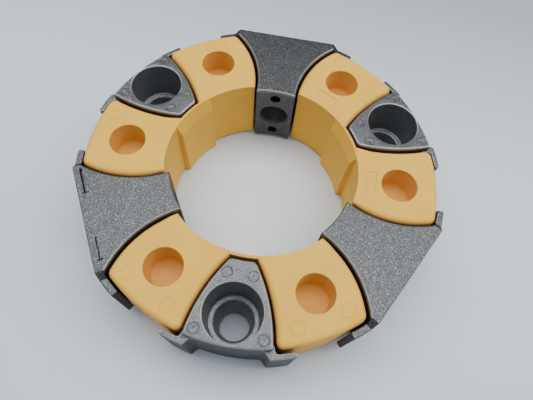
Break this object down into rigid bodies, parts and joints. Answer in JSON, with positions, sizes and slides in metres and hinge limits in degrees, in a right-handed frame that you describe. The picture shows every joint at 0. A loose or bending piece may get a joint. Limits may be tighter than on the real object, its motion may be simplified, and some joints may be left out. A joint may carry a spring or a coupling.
{
  "type": "flexible flange coupling element",
  "caption": "Ring-shaped flexible coupling element: elastomer lobes held between cast inserts that bolt to a flange and, radially, to a shaft hub.",
  "frame": {"origin": "on the shaft axis, in the plane of the flange face under the axial inserts", "axes": "+Z along the shaft axis towards the side where the axial screw heads sit; +Y through the middle of radial insert 1, -Y through the middle of axial insert 1"},
  "size_m": [0.205, 0.1987, 0.048],
  "materials": {
    "cast_aluminium": "shot-blasted casting, sparkling grain, bright worn edges",
    "elastomer": "smooth moulded polyester elastomer, slightly translucent"
  },
  "bodies": {
    "flange_side": {"axial_insert_1": "cast_aluminium", "axial_insert_2": "cast_aluminium", "axial_insert_3": "cast_aluminium"},
    "elastomer": {"elastomer_segment_1": "elastomer", "elastomer_segment_2": "elastomer", "elastomer_segment_3": "elastomer"},
    "hub_side": {"radial_insert_1": "cast_aluminium", "radial_insert_2": "cast_aluminium", "radial_insert_3": "cast_aluminium"}
  },
  "joints": [
    {"name": "wind_up", "type": "hinge", "parent": "flange_side", "child": "hub_side", "pos_m": [0, 0, 0], "axis": [0, 0, 1], "range_deg": [-1.4, 1.4], "stiffness_Nm_per_rad": 20},
    {"name": "segment_twist", "type": "hinge", "parent": "flange_side", "child": "elastomer", "pos_m": [0, 0, 0], "axis": [0, 0, 1], "range_deg": [-0.7, 0.7]}
  ],
  "couplings": [
    {"joint": "segment_twist", "follows": "wind_up", "ratio": 0.5}
  ]
}
